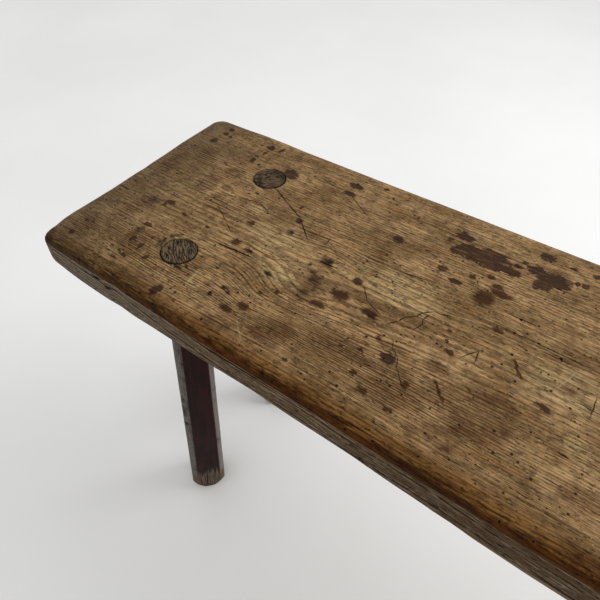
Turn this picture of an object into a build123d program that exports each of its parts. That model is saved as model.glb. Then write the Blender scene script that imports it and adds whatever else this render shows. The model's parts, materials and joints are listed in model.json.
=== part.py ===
from build123d import *
from math import radians, tan
import os

# Pig bench: one thick plank carried by four splayed legs.
# Each leg ends in a round tenon that comes up through the plank and is cut off just under its top face.
# Millimetres. X runs along the bench, Z is up from the floor, and the front is the -Y side,
# whose long edge bellies out. The origin is on the floor, under the middle of the bench.

# Seat plank
seat_height = 480
seat_length = 1500
seat_end_width = 285
front_belly = 15
seat_thickness = 48
back_corner_radius = 20
front_corner_radius = 18
worn_arris_radius = 14
under_arris_radius = 6

# Legs: chamfered squares, stouter towards the foot
leg_from_end = 140
leg_from_edge = 75.5
leg_foot_width = 50
leg_chamfer = 7
foot_chamfer = 3
leg_rake_deg = 2.6
leg_splay_deg = 2.2
leg_turn_deg = 39

# Joint between leg and plank
tenon_diameter = 37
tenon_shoulder = 2.25
tenon_clearance = 0.15
tenon_sink = 0.3
cut_overrun = 20

seat_widest = seat_end_width + front_belly
seat_underside = seat_height - seat_thickness
leg_shoulder_width = tenon_diameter + tenon_shoulder + tenon_shoulder
ends = {"left": -1, "right": 1}
sides = {"front": -1, "back": 1}


def seat_outline():
    # Straight back and ends, and a front edge that is one long shallow arc.
    half_length = seat_length / 2
    back = seat_widest / 2
    front_ends = front_belly - seat_widest / 2
    edges = [
        Line((-half_length, front_ends), (-half_length, back)),
        Line((-half_length, back), (half_length, back)),
        Line((half_length, back), (half_length, front_ends)),
        ThreePointArc((half_length, front_ends), (0, -seat_widest / 2), (-half_length, front_ends)),
    ]
    outline = make_face(edges)
    outline = fillet(outline.vertices().group_by(Axis.Y)[-1], back_corner_radius)
    return fillet(outline.vertices().group_by(Axis.Y)[0], front_corner_radius)


def leg_centre(end, side, height):
    # Where a leg's axis passes this height above the floor.
    drop = seat_height - height
    along = seat_length / 2 - leg_from_end + drop * tan(radians(leg_rake_deg))
    across = seat_widest / 2 - leg_from_edge + drop * tan(radians(leg_splay_deg))
    return Vector(end * along, side * across, height)


def leg_slice(end, side, height, width):
    # Level slice of the shaft: a chamfered square, turned so that a wide face looks half inwards.
    square = Rectangle(width, width)
    turned = Rot(0, 0, -end * side * leg_turn_deg) * chamfer(square.vertices(), leg_chamfer)
    return Pos(leg_centre(end, side, height)) * turned


def tenon_rod(end, side, radius):
    # A round rod on the leg's axis, from inside the shaft to above the plank.
    low = leg_centre(end, side, seat_underside - cut_overrun)
    high = leg_centre(end, side, seat_height + cut_overrun)
    rod = Cylinder(radius, (high - low).length, align=(Align.CENTER, Align.CENTER, Align.MIN))
    return Plane(origin=low, z_dir=high - low) * rod


def leg(end, side):
    # Shaft from the plank's underside down to the chamfered foot, and the tenon above it.
    shoulder = leg_slice(end, side, seat_underside, leg_shoulder_width)
    ankle = leg_slice(end, side, foot_chamfer, leg_foot_width)
    sole = leg_slice(end, side, 0, leg_foot_width - foot_chamfer - foot_chamfer)
    shaft = loft([shoulder, ankle, sole], ruled=True)
    tenon = tenon_rod(end, side, tenon_diameter / 2)
    return shaft + split(tenon, Plane.XY.offset(seat_height - tenon_sink), Keep.BOTTOM)


def seat_plank():
    # A slab with its upper arris worn round, and a raked round mortise for each leg.
    plank = Pos(0, 0, seat_underside) * extrude(seat_outline(), seat_thickness)
    plank = fillet(plank.faces().sort_by(Axis.Z)[-1].edges(), worn_arris_radius)
    plank = fillet(plank.faces().sort_by(Axis.Z)[0].edges(), under_arris_radius)
    for end in ends.values():
        for side in sides.values():
            plank -= tenon_rod(end, side, tenon_diameter / 2 + tenon_clearance)
    return plank


def make_parts():
    parts = {"seat_plank": seat_plank()}
    for side_name, side in sides.items():
        for end_name, end in ends.items():
            parts[f"leg_{side_name}_{end_name}"] = leg(end, side)
    return parts


os.makedirs("parts", exist_ok=True)
for node, solid in make_parts().items():
    export_step(solid, f"parts/{node}.step")
    print(node, round(solid.volume))
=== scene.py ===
import json
from functools import partial
from math import atan2, copysign, cos, degrees, exp, hypot, pi, radians, sin, tan
import bmesh
import bpy
import numpy as np
from mathutils import Matrix, Vector, noise


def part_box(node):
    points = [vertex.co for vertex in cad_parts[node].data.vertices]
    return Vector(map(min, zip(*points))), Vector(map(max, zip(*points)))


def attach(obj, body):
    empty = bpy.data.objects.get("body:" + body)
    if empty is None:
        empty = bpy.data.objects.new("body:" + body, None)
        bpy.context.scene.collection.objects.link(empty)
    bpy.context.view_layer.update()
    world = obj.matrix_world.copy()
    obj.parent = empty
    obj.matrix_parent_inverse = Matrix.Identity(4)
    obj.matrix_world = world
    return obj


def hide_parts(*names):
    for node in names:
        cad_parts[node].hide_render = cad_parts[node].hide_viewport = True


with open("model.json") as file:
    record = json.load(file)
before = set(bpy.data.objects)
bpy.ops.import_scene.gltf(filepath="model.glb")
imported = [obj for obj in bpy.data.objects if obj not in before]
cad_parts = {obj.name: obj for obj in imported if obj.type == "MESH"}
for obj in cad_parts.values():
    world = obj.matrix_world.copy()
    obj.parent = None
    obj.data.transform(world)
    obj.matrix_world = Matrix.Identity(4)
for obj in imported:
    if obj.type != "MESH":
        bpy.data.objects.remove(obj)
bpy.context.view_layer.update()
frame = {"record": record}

# Pig bench: a thick old pine plank on four splayed legs in dark paint.
# Lengths are millimetres, turned to metres where a mesh is made.
# On the plank, a place is (along, across, deep): from its left end, from its back edge and down from its top.
mm = 0.001
seatLow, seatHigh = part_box("seat_plank")
seatHeight = seatHigh.z / mm
underside = seatLow.z / mm

print("stage 1: helpers")


def onlySelect(*pieces):
    # selects these pieces and nothing else, with the first one active
    bpy.ops.object.select_all(action="DESELECT")
    for piece in pieces:
        piece.select_set(True)
    bpy.context.view_layer.objects.active = pieces[0]


def named(name):
    # the primitive just added, with its size and place moved into its mesh
    piece = bpy.context.object
    piece.name = name
    piece.data.name = name
    bpy.ops.object.transform_apply(location=True, rotation=True, scale=True)
    return piece


def rod(name, sides, radius, low, high):
    # an upright cylinder round the origin, between two heights
    bpy.ops.mesh.primitive_cylinder_add(vertices=sides, radius=radius * mm, depth=(high - low) * mm,
                                        location=(0, 0, (high + low) / 2 * mm))
    return named(name)


def shapeParts(piece, wanted, operator, mode="EDGE", **settings):
    # runs an edit mode operator on the edges, or the faces, that are wanted
    onlySelect(piece)
    bpy.ops.object.mode_set(mode="EDIT")
    bpy.ops.mesh.select_mode(type=mode)
    bpy.ops.mesh.select_all(action="DESELECT")
    mesh = bmesh.from_edit_mesh(piece.data)
    for part in mesh.edges if mode == "EDGE" else mesh.faces:
        part.select = wanted(part)
    mesh.select_flush_mode()
    operator(**settings)
    bpy.ops.object.mode_set(mode="OBJECT")


def edgeRuns(edge, axis):
    # true for an edge that runs along that axis, 0 for X, 1 for Y and 2 for Z
    run = edge.verts[1].co - edge.verts[0].co
    return abs(run[axis]) > 0.99 * run.length


def cutAlong(piece, axis, *counts):
    # divides every edge along one axis into as many parts as the counts multiply to
    for count in counts:
        shapeParts(piece, lambda edge: edgeRuns(edge, axis), bpy.ops.mesh.subdivide, number_cuts=count - 1)


def points(piece):
    # the piece's vertices as rows of millimetres
    flat = np.empty(len(piece.data.vertices) * 3, np.float32)
    piece.data.vertices.foreach_get("co", flat)
    return flat.reshape(-1, 3).astype(float) / mm


def movePoints(piece, places):
    piece.data.vertices.foreach_set("co", (np.asarray(places) * mm).astype(np.float32).ravel())
    piece.data.update()


def roughness(places, grain, seed):
    # smooth noise from -1 to 1 for each place, where grain is the size of its lumps along X, Y and Z
    scaled = np.asarray(places) / np.array(grain) + seed
    return np.array([noise.noise(Vector(place)) for place in scaled])


def combine(piece, tool, operation):
    # joins or cuts with another closed mesh, which is then thrown away
    modifier = piece.modifiers.new(operation, "BOOLEAN")
    modifier.operation = operation
    modifier.solver = "MANIFOLD"
    modifier.object = tool
    onlySelect(piece)
    bpy.ops.object.modifier_apply(modifier=modifier.name)
    bpy.data.objects.remove(tool)


def joined(pieces):
    onlySelect(*pieces)
    bpy.ops.object.join()
    return pieces[0]


def smooth(piece, angle):
    onlySelect(piece)
    bpy.ops.object.shade_smooth_by_angle(angle=radians(angle))


print("stage 2: camera")

cameraView = {
    "lens": 33.3,
    "sensor": 36,
    "place": (-0.2791, -0.3405, 0.850),
    "lookDown": 42.63,
    "turn": 34.86,
}
bpy.ops.object.camera_add(location=cameraView["place"])
camera = bpy.context.object
camera.rotation_euler = (radians(cameraView["lookDown"]), 0, radians(cameraView["turn"]))
camera.data.lens = cameraView["lens"]
camera.data.sensor_width = cameraView["sensor"]
bpy.context.scene.camera = camera

print("stage 3: where the legs stand")

# The legs' places follow the feet in the record and the lean of the legs.
legStance = {"rake": 2.6, "splay": 2.2, "turn": 39}
feet = {mount["name"][5:]: Vector(mount["pos_m"]) / mm for mount in frame["record"]["mounts"]
        if mount["name"].startswith("foot_")}


def tenonMiddle(foot):
    # where the axis of the leg on this foot meets the level of the plank's top: (along, across)
    x = foot.x - copysign(tan(radians(legStance["rake"])) * seatHeight, foot.x)
    y = foot.y - copysign(tan(radians(legStance["splay"])) * seatHeight, foot.y)
    return np.array((x - seatLow.x / mm, seatHigh.y / mm - y))


def legMatrix(place):
    # turns an upright leg at the origin and leans it, so that its foot stands where the record says
    foot = feet[place]
    end = 1 if foot.x > 0 else -1
    side = 1 if foot.y > 0 else -1
    turn = Matrix.Rotation(radians(-end * side * legStance["turn"]), 4, "Z")
    lean = Matrix.Identity(4)
    lean[0][2] = -end * tan(radians(legStance["rake"]))
    lean[1][2] = -side * tan(radians(legStance["splay"]))
    return Matrix.Translation((foot.x * mm, foot.y * mm, 0)) @ lean @ turn


print("stage 4: the plank")

plankSize = {
    "long": (seatHigh.x - seatLow.x) / mm,
    "wide": (seatHigh.y - seatLow.y) / mm,
    "thick": (seatHigh.z - seatLow.z) / mm,
    "cuts": ((0, 20, 20), (1, 78), (2, 12)),   # how many parts its mesh has along each axis
    "belly": 15,              # how much narrower it is at its ends, all of it on the front edge
    "frontCorner": 18,
    "backCorner": 20,
    # the front corner at the left end: how far its wear reaches, the radius of its upright edge,
    # how much rounder its lower arris is and how sharp its upright edge stayed at half height
    "nearCorner": {"reach": 34, "radius": 12, "under": 6.5, "sharp": 3},
    # the worn upper arris at the front, and how much that varies and over which lengths, along and across
    "topRound": 13.5,
    "topRoundVaries": (1.5, 83, 61),
    # (along, radius) of the upper arris at the back
    "backRound": [(0, 13), (50, 11.8), (81, 9.4), (112, 9.9), (142, 11.8), (252, 12.7), (325, 11.6),
                  (1500, 12.5)],
    # (across, radius) of the upper arris at the left end, and how far that reaches along the plank
    "leftRound": [(0, 12), (56, 11), (77, 10.2), (114, 11.7), (149, 11.4), (198, 11.6), (229, 10),
                  (252, 8.4), (268, 8.8), (282, 12.5)],
    "leftReach": 30,
    # (along, radius) of the lower arris
    "underRound": [(0, 5), (118, 5), (135, 6.5), (153, 8), (175, 8.6), (235, 9.5), (257, 10.9), (281, 12),
                   (303, 10), (324, 8.2), (345, 8.8), (385, 9.6), (402, 8.2), (422, 6.5), (440, 5.6),
                   (457, 3.2), (473, 3), (489, 1), (900, 2), (1500, 6)],
    # (along, depth) of the plank's slight sag at its front
    "sag": [(0, 0), (480, 0), (530, 2.2), (760, 1.8), (1100, 0), (1500, 0)],
    "wear": 0.5,              # how deep the hollows of the worn top are, and how large: (along, across)
    "hollows": ((61, 37), (173, 90)),
    "edgeFade": (4, 40),      # how quickly a worn outline fades away from the long edges and from the ends
    "dents": 0.3,             # how deep the unevenness of all its faces is
    "dentSizes": ((60, 24, 16), (14, 9, 7)),
    "keepInside": 0.25,       # how far everything stays inside the solid's faces
    "smooth": 35,             # faces that meet at less than this many degrees look like one
}
# Where the outline is worn back: (middle, half length, depth), where the middle is along on a long edge
# and across on an end
edgeWear = {
    "back": [(1010, 45, 1.4), (1330, 30, 1.1)],
    "front": [(112, 9, 1.0), (330, 40, 0.8), (760, 50, 1.2), (1180, 35, 1.0)],
    "left": [(140, 5, 0.9)],
    "right": [(70, 30, 1.2), (215, 45, 1.8)],
}


def wornBack(edge, where):
    # how far an edge lies inside the solid's
    worn = sum(depth * np.exp(-0.5 * ((where - middle) / half) ** 2)
               for middle, half, depth in edgeWear[edge])
    return worn + plankSize["keepInside"]


def topWear(along, across):
    # how far the worn top lies under the solid's top
    small, large = plankSize["hollows"]
    ripple = 1 + np.sin(along / small[0] + 1.3) * np.cos(across / small[1] + 0.4)
    slow = 1 + np.sin(along / large[0] + across / large[1])
    return plankSize["keepInside"] + plankSize["wear"] * (0.35 * ripple + 0.35 * slow)


def shapePlank(piece):
    long, wide, thick = plankSize["long"], plankSize["wide"], plankSize["thick"]
    place = points(piece)
    along = place[:, 0] - seatLow.x / mm
    across = seatHigh.y / mm - place[:, 1]
    deep = seatHeight - place[:, 2]
    # round the arrises and corners: each point goes out from a core by the arris's radius
    near = plankSize["nearCorner"]
    nearCorner = np.exp(-(np.hypot(along, wide - across) / near["reach"]) ** 2)
    much, overAlong, overAcross = plankSize["topRoundVaries"]
    frontRound = plankSize["topRound"] + much * np.sin(along / overAlong + across / overAcross)
    backRound = np.interp(along, *zip(*plankSize["backRound"]))
    leftRound = np.interp(across, *zip(*plankSize["leftRound"]))
    upper = backRound + (frontRound - backRound) * across / wide
    upper += (leftRound - upper) * np.exp(-(along / plankSize["leftReach"]) ** 2)
    under = np.interp(along, *zip(*plankSize["underRound"])) + near["under"] * nearCorner
    radius = np.where(deep < thick / 2, upper, under)
    corner = np.where(across > wide / 2, plankSize["frontCorner"], plankSize["backCorner"])
    corner = np.maximum(corner + (near["radius"] - corner) * nearCorner, radius)
    coreAlong = np.clip(along, corner, long - corner)
    coreAcross = np.clip(across, corner, wide - corner)
    outAlong, outAcross = along - coreAlong, across - coreAcross
    reach = np.hypot(outAlong, outAcross)
    share = np.minimum(1, (corner - radius) / np.maximum(reach, 1e-6))
    coreAlong += outAlong * share
    coreAcross += outAcross * share
    coreDeep = np.clip(deep, upper, thick - under)
    out = np.stack([along - coreAlong, across - coreAcross, deep - coreDeep], 1)
    sharp = 2 + near["sharp"] * nearCorner * np.sin(pi * np.clip(deep / thick, 0, 1))
    level = (np.abs(out[:, 0]) ** sharp + np.abs(out[:, 1]) ** sharp) ** (1 / sharp)
    out *= (radius / np.hypot(level, out[:, 2]))[:, None]
    along, across, deep = coreAlong + out[:, 0], coreAcross + out[:, 1], coreDeep + out[:, 2]
    # the front edge's belly and the worn outline, which fades quickly from the ends
    fromMiddle = (along - long / 2) / (long / 2)
    toFront, toRight = across / wide, along / long
    across -= plankSize["belly"] * fromMiddle ** 2 * toFront
    longFade, endFade = plankSize["edgeFade"]
    across += wornBack("back", along) * (1 - toFront) ** longFade
    across -= wornBack("front", along) * toFront ** longFade
    along += wornBack("left", across) * (1 - toRight) ** endFade
    along -= wornBack("right", across) * toRight ** endFade
    deep += topWear(along, across) * (1 - deep / thick)
    deep += np.interp(along, *zip(*plankSize["sag"])) * deep / thick * toFront
    moved = np.stack([along + seatLow.x / mm, seatHigh.y / mm - across, seatHeight - deep], 1)
    movePoints(piece, moved)
    # small dents of hand tools and use, always inwards
    normals = np.empty(len(moved) * 3, np.float32)
    piece.data.vertices.foreach_get("normal", normals)
    large, small = plankSize["dentSizes"]
    dent = 0.6 * roughness(moved, large, 3.7) + 0.4 * roughness(moved, small, 8.1)
    movePoints(piece, moved - normals.reshape(-1, 3) * (plankSize["dents"] * (0.5 + 0.5 * dent))[:, None])


bpy.ops.mesh.primitive_cube_add(size=1, location=(seatLow + seatHigh) / 2, scale=seatHigh - seatLow)
seat = named("pine_plank")
for cuts in plankSize["cuts"]:
    cutAlong(seat, *cuts)
shapePlank(seat)

print("stage 5: mortises, splits and worm holes in the plank")

mortise = {
    "radius": 18.6,
    "uneven": 0.35,           # how lumpy its wall is
    "lumps": (7, 7, 30),
    "rim": 0.55,              # how far the worn rim flares, and how deep that starts
    "rimDeep": 1.4,
    "through": 12,            # how far the cutter runs past both faces
    "sides": 72,
}


def mortiseCutter(place, seed):
    # a round, slightly uneven rod on the leg's axis, flared at the plank's top
    cutter = rod("mortise_cutter", mortise["sides"], mortise["radius"], underside - mortise["through"],
                 seatHeight + mortise["through"])
    top = seatHeight - topWear(feet[place].x - seatLow.x / mm, seatHigh.y / mm - feet[place].y)
    rimDeep = mortise["rimDeep"]
    for level in (top - rimDeep, top - rimDeep / 3, top + 0.2):
        shapeParts(cutter, lambda edge: True, bpy.ops.mesh.bisect,
                   plane_co=(0, 0, level * mm), plane_no=(0, 0, 1))
    spot = points(cutter)
    flare = mortise["rim"] * np.clip((spot[:, 2] - top + rimDeep) / rimDeep, 0, 1) ** 2
    lump = roughness(spot, mortise["lumps"], seed)
    spot[:, :2] *= (1 + (flare + mortise["uneven"] * lump) / mortise["radius"])[:, None]
    movePoints(cutter, spot)
    cutter.data.transform(legMatrix(place))
    return cutter


# Splits: (along, across, half length, width, depth, turn in degrees) on the top
topSplits = [
    (183, 192.6, 21, 2.1, 7, -4), (17, 181.5, 8, 1.4, 8, 2), (347, 123.6, 16, 1.1, 3, -8),
    (450, 118.1, 14, 1.0, 4, 0), (272, 157, 9, 1.8, 4, -4), (519, 227, 4, 1.4, 4, 2),
    (489, 142.8, 15, 0.8, 3, 0), (1488, 96, 24, 1.4, 16, -1), (1494, 214, 15, 1.1, 12, 2),
    (760, 88, 34, 0.9, 4, 1), (1012, 201, 26, 1.1, 5, -2), (1255, 143, 22, 1.0, 5, 1),
]
# Long shakes in the front side, under the worn arris: (along, down from the top, half length, width, depth)
sideSplits = [(262, 16.5, 46, 2.0, 9), (67, 20.5, 6, 2.2, 3), (84, 17.8, 7, 3.2, 4), (99, 24, 5, 2.8, 3),
              (640, 24, 60, 0.9, 5), (1110, 19, 55, 1.3, 7)]
# Drying checks in both ends: (across, down from the top, half height, width, depth)
endSplits = [(60, 22, 15, 0.9, 9), (128, 30, 11, 0.8, 7), (236, 20, 13, 0.9, 8)]
splitShape = {
    "parts": 14,              # how many parts a split has along its length
    "tip": 0.12,              # its width at its ends, and at its bottom, as a share of its width
    "bottom": 0.25,
    "past": 1.02,             # its sides would meet this many half lengths from its middle
    "bends": ((0.5, 9), (0.35, 3)),   # how far it bends, as a share of its width, and how long the bends are
}
wormHoles = {
    "count": 46,
    "sideCount": 16,
    "radius": (0.55, 0.95),
    "depth": 6,
    "sides": 10,
    "fromEnds": 25,           # on the top, and on the front side
    "sideFromEnds": 40,
    "sideDeep": (18, 40),     # how far down the front side they are
    "front": 278,             # on the top they start this far from the back edge,
    "spread": 250,            # reach this far back and crowd towards the front
    "crowd": (1, 2.2),
    "fromTenon": 22,
    "down": (0.1, 0.1, -1),   # which way they go into the top
    "seed": 11,
}
# Old nail holes with bruised rims: (along, across, radius)
nailHoles = [(449.4, 136.7, 1.5), (490.9, 141.6, 1.6), (455.8, 160.4, 1.3), (449, 119.1, 1.3),
             (467.4, 184.9, 1.2)]


def facing(middle, down):
    # puts a cutter's origin at this place and turns it, so that its own -Z looks along down
    turned = Vector((0, 0, -1)).rotation_difference(Vector(down))
    return Matrix.Translation(Vector(middle) * mm) @ turned.to_matrix().to_4x4()


def splitCutter(middle, half, width, depth, turn, down, seed):
    # a bent wedge: widest at its mouth, narrowing to both ends and to its bottom, which lies along down
    bpy.ops.mesh.primitive_cube_add(size=1, scale=(2 * half * mm, width * mm, 2 * depth * mm))
    wedge = named("split_cutter")
    cutAlong(wedge, 0, splitShape["parts"])
    spot = points(wedge)
    taper = np.sqrt(np.clip(1 - (spot[:, 0] / (half * splitShape["past"])) ** 2, 0, 1))
    isBottom = spot[:, 2] < 0
    tip, bottom = splitShape["tip"], splitShape["bottom"]
    spot[:, 1] *= np.where(isBottom, bottom, 1) * (tip + (1 - tip) * taper)
    spot[:, 2] *= np.where(isBottom, bottom + (1 - bottom) * taper, 1)
    line = np.stack([spot[:, 0], 0 * spot[:, 0], 0 * spot[:, 0]], 1)
    for number, (much, long) in enumerate(splitShape["bends"]):
        spot[:, 1] += width * much * roughness(line, (long, 1, 1), seed + 5 * number)
    movePoints(wedge, spot)
    wedge.data.transform(facing(middle, down) @ Matrix.Rotation(radians(turn), 4, "Z"))
    return wedge


def holeCutter(middle, radius, down):
    hole = rod("hole_cutter", wormHoles["sides"], radius, -wormHoles["depth"], wormHoles["depth"])
    hole.data.transform(facing(middle, down))
    return hole


def onTop(along, across):
    return (along + seatLow.x / mm, seatHigh.y / mm - across, seatHeight - topWear(along, across))


def onFront(along, deep):
    # a place on the front side, which bellies out
    fromMiddle = (along - plankSize["long"] / 2) / (plankSize["long"] / 2)
    y = seatLow.y / mm + plankSize["belly"] * fromMiddle ** 2 + plankSize["keepInside"]
    return (along + seatLow.x / mm, y, seatHeight - deep)


def plankCutters():
    draw = np.random.default_rng(wormHoles["seed"])
    tools = [mortiseCutter(place, seed) for seed, place in enumerate(sorted(feet))]
    for seed, (along, across, half, width, depth, turn) in enumerate(topSplits):
        tools.append(splitCutter(onTop(along, across), half, width, depth, -turn, (0, 0, -1), seed))
    for seed, (along, deep, half, width, depth) in enumerate(sideSplits):
        tools.append(splitCutter(onFront(along, deep), half, width, depth, 0, (0, 1, 0), 20 + seed))
    for seed, (across, deep, half, width, depth) in enumerate(endSplits):
        for edge, inward in ((seatLow.x / mm, 1), (seatHigh.x / mm, -1)):
            middle = (edge, seatHigh.y / mm - across, seatHeight - deep)
            tools.append(splitCutter(middle, half, width, depth, 90, (inward, 0, 0), 30 + seed))
    for along, across, radius in nailHoles:
        tools.append(holeCutter(onTop(along, across), radius, (0, 0, -1)))
    for _ in range(wormHoles["count"]):
        along = draw.uniform(wormHoles["fromEnds"], plankSize["long"] - wormHoles["fromEnds"])
        across = wormHoles["front"] - wormHoles["spread"] * draw.beta(*wormHoles["crowd"])
        radius = draw.uniform(*wormHoles["radius"])
        # a hole over a mortise would leave a loose plug in it
        nearest = min(hypot(*(tenonMiddle(foot) - (along, across))) for foot in feet.values())
        if nearest > wormHoles["fromTenon"]:
            tools.append(holeCutter(onTop(along, across), radius, wormHoles["down"]))
    for _ in range(wormHoles["sideCount"]):
        along = draw.uniform(wormHoles["sideFromEnds"], plankSize["long"] - wormHoles["sideFromEnds"])
        middle = onFront(along, draw.uniform(*wormHoles["sideDeep"]))
        tools.append(holeCutter(middle, draw.uniform(*wormHoles["radius"]), (0, 1, 0)))
    return joined(tools)


combine(seat, plankCutters(), "DIFFERENCE")
smooth(seat, plankSize["smooth"])

print("stage 6: the legs")

legSize = {
    "shoulder": 42.2,         # across the flats under the plank
    "foot": 50.6,
    # on the corners where its own x and y have the same sign, and on the others
    "chamfer": {True: 4.9, False: 7.3},
    "arris": 1.2,             # the worn edge between a face and a chamfer
    "sole": 2,                # the worn edge of the foot
    "bowl": (25.3, 2.4),      # how far out the worn corners reach at the floor, and how steeply they go up
    "twist": 6,               # how many degrees further the foot is turned than the shoulder
    "rings": 72,              # how many cuts its mesh has along its length,
    "footRings": 3,           # and how many more between these near the floor
    "footHigh": 12.5,
    "across": 6,              # how many cuts there are across each face
    "wavy": 0.7,              # how far the hewn faces wander
    "waves": ((26, 26, 70), (11, 11, 17)),
    "fade": 20,               # the waves fade out this far under the plank
    "tenonRadius": 17.95,
    "tenonSides": 64,
    "tenonInside": 12,        # how far the tenon reaches into the shaft
    "tenonRim": 0.9,
    "tenonInsets": (6, 7.5),  # how many rings its end has, and how many would fill it
    "tenonSink": 0.35,        # how far its end lies under the worn top
    "tenonUneven": (0.2, (6, 6, 40)),
    "tenonDish": (0.3, (5, 5, 50), 0.25),   # how lumpy its end is, the lumps' size, and how hollow it is
    "tenonShift": (-0.25, -0.3),   # (along, across): it sits towards the left and the back of its mortise,
    "shiftOver": 30,          # and is bent that way over this height
    "smooth": 30,
}


def legShaft():
    # a square post with chamfers, cut into rings so that its faces can wander
    wide = legSize["foot"]
    bevel, subdivide = bpy.ops.mesh.bevel, bpy.ops.mesh.subdivide
    bpy.ops.mesh.primitive_cube_add(size=1, scale=(wide * mm, wide * mm, underside * mm),
                                    location=(0, 0, underside / 2 * mm))
    shaft = named("leg_shaft")

    def isUpright(edge):
        return edgeRuns(edge, 2)

    def isCorner(edge, same):
        corner = edge.verts[0].co
        outside = min(abs(corner.x), abs(corner.y)) > (wide / 2 - 0.1) * mm
        return isUpright(edge) and outside and (corner.x * corner.y > 0) == same

    def isAtFoot(edge):
        # the shaft's own lowest edges, which are longer than 3 mm, not the sole's
        low = sum(vertex.co.z for vertex in edge.verts) / 2 < legSize["footHigh"] * mm
        return isUpright(edge) and low and edge.calc_length() > 3 * mm

    def isAcross(edge):
        # the level edges of the wide faces, not those of the chamfers
        isLevel = abs(edge.verts[0].co.z - edge.verts[1].co.z) < 0.01 * mm
        return isLevel and edge.calc_length() > wide / 2 * mm

    for same, chamfer in legSize["chamfer"].items():
        shapeParts(shaft, partial(isCorner, same=same), bevel,
                   offset=chamfer * mm, segments=1, affect="EDGES", clamp_overlap=False)
    shapeParts(shaft, isUpright, bevel,
               offset=legSize["arris"] * mm, segments=2, affect="EDGES", clamp_overlap=False)
    shapeParts(shaft, lambda edge: all(vertex.co.z < mm for vertex in edge.verts), bevel,
               offset=legSize["sole"] * mm, segments=3, affect="EDGES")
    shapeParts(shaft, lambda edge: isUpright(edge) and edge.calc_length() > underside / 2 * mm, subdivide,
               number_cuts=legSize["rings"])
    shapeParts(shaft, isAtFoot, subdivide, number_cuts=legSize["footRings"])
    shapeParts(shaft, isAcross, subdivide, number_cuts=legSize["across"])
    spot = points(shaft)
    spot[:, :2] *= (1 + (legSize["shoulder"] / legSize["foot"] - 1) * spot[:, 2] / underside)[:, None]
    # the foot's corners are worn away like the rim of a bowl
    start, steep = legSize["bowl"]
    off = np.hypot(spot[:, 0], spot[:, 1])
    spot[:, :2] *= np.minimum(1, (start + spot[:, 2] / steep) / np.maximum(off, 1))[:, None]
    movePoints(shaft, spot)
    return shaft


def legTenon():
    # the round end that shows in the plank's top: its rim is worn and its end grain is slightly dished
    tenon = rod("leg_tenon", legSize["tenonSides"], legSize["tenonRadius"],
                underside - legSize["tenonInside"], seatHeight)

    def insets():
        rings, most = legSize["tenonInsets"]
        for _ in range(rings):
            bpy.ops.mesh.inset(thickness=legSize["tenonRadius"] / most * mm)

    shapeParts(tenon, lambda edge: all(vertex.co.z > (seatHeight - 0.01) * mm for vertex in edge.verts),
               bpy.ops.mesh.bevel, offset=legSize["tenonRim"] * mm, segments=2, affect="EDGES")
    shapeParts(tenon, lambda face: face.normal.z > 0.99, insets, mode="FACE")
    return tenon


# Knocks on one chamfer of each leg: (height, sideways, half length, width, depth, turn)
legKnocks = {
    "front_left": [(248, -1, 5, 1.8, 2.6, 8), (243, -3, 4, 1.6, 2.4, -6), (229, 0, 5, 2.2, 3, 10),
                   (223, -2.5, 6, 2.4, 3.4, 4), (217, -1, 5, 1.8, 3, -8), (211, -3, 5, 2.2, 3.2, 6),
                   (192, -2.5, 6.5, 3.2, 4, 10), (186, -3.5, 4, 2, 3, 0)],
    "front_right": [(96, 1, 6, 1.8, 2.4, -4), (258, -2, 4, 1.4, 2, 6)],
    "back_left": [(150, -1, 5, 1.6, 2.2, 3), (305, 1, 4, 1.4, 2, -6)],
    "back_right": [(70, 0, 6, 2, 2.6, -8), (221, 2, 3.5, 1.4, 2, 10)],
}


def knockCutter(knock, seed):
    height, sideways, half, width, depth, turn = knock
    wide = legSize["foot"] + (legSize["shoulder"] - legSize["foot"]) * height / underside
    out = (wide - legSize["chamfer"][False] * wide / legSize["foot"]) / 2
    slide = sideways * cos(radians(45))
    return splitCutter((out + slide, slide - out, height), half, width, depth, turn, (-1, 1, 0), 50 + seed)


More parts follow.
